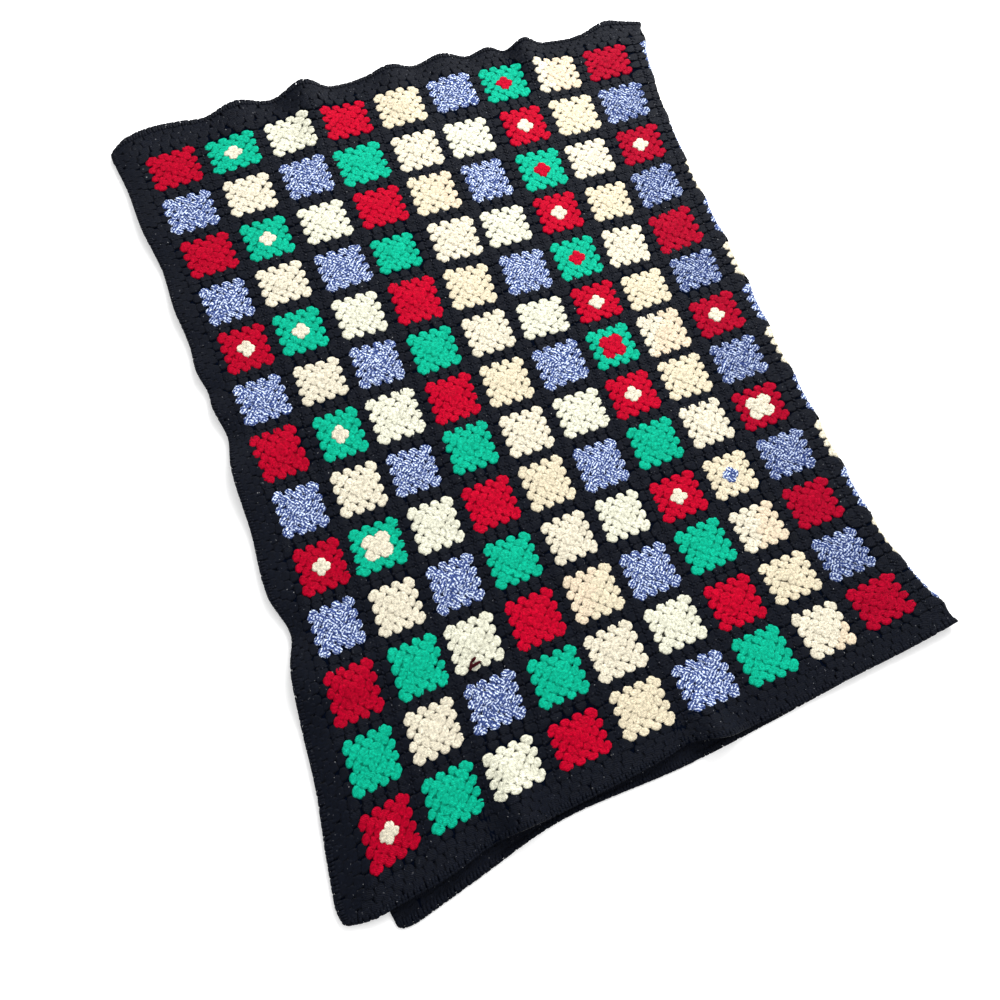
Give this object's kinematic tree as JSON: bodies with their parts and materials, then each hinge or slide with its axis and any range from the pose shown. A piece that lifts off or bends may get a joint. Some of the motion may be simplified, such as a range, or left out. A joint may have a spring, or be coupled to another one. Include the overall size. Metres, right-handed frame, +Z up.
{
  "type": "folded granny square blanket",
  "caption": "Crocheted patchwork blanket of granny squares joined in black with a black edging, folded once down its length and laid flat.",
  "frame": {"origin": "on the surface that the blanket lies on, under the middle of its box", "axes": "+Z up, +Y along the fold towards the far end, +X across the blanket towards the fold"},
  "size_m": [1.0864, 1.339, 0.0427],
  "materials": {
    "patchwork_yarn": "soft matte yarn",
    "black_yarn": "soft matte yarn",
    "red_yarn": "soft matte yarn",
    "green_yarn": "soft matte yarn",
    "cream_yarn": "soft matte yarn",
    "blue_marl_yarn": "soft matte twisted yarn"
  },
  "bodies": {
    "root": {"patchwork": "patchwork_yarn", "edging": "black_yarn"}
  },
  "joints": []
}
